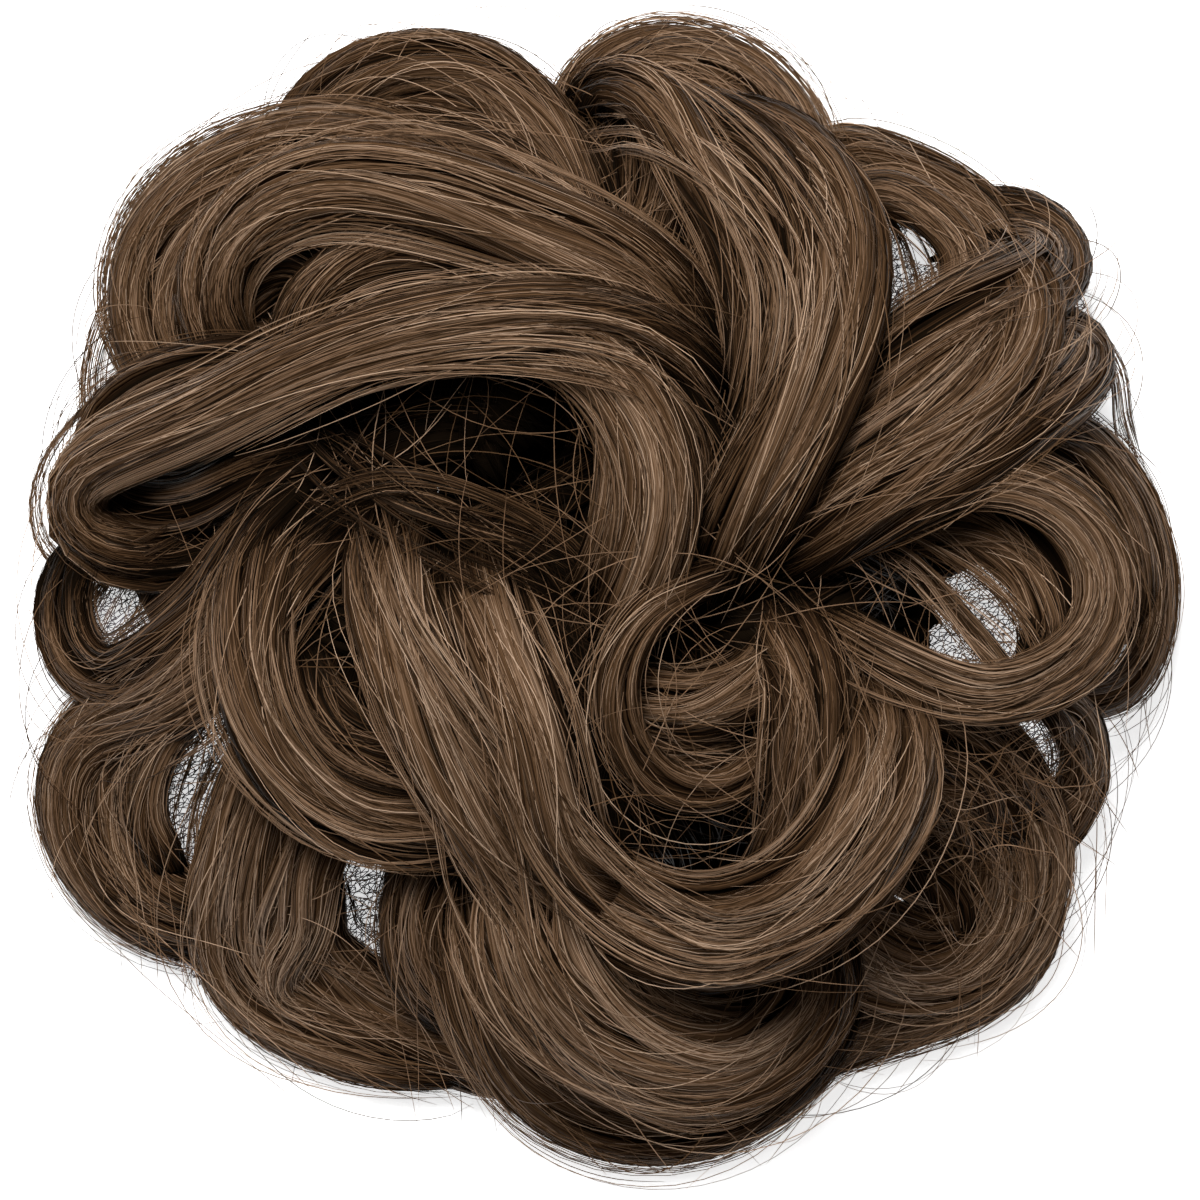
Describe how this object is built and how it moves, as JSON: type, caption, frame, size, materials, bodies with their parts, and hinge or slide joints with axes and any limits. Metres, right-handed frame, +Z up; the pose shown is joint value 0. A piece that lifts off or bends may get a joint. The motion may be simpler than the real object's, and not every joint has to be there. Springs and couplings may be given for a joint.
{
  "type": "top knot hairpiece",
  "caption": "Messy top knot hairpiece: curled locks of synthetic hair looped out of a weft ring, on a covered elastic that goes round a ponytail.",
  "frame": {"origin": "on the flat resting face, in the middle of the hairpiece's outline seen from above", "axes": "+Z up, away from the resting face; +X to the right and +Y to the top of the hairpiece seen from above"},
  "size_m": [0.1638, 0.1638, 0.0521],
  "materials": {
    "synthetic_hair": "fine glossy synthetic fibre in medium ash brown, with lighter and darker strands",
    "elastic_cover": "black woven elastic cover"
  },
  "bodies": {
    "root": {"hair": "synthetic_hair", "elastic_band": "elastic_cover"}
  },
  "joints": []
}
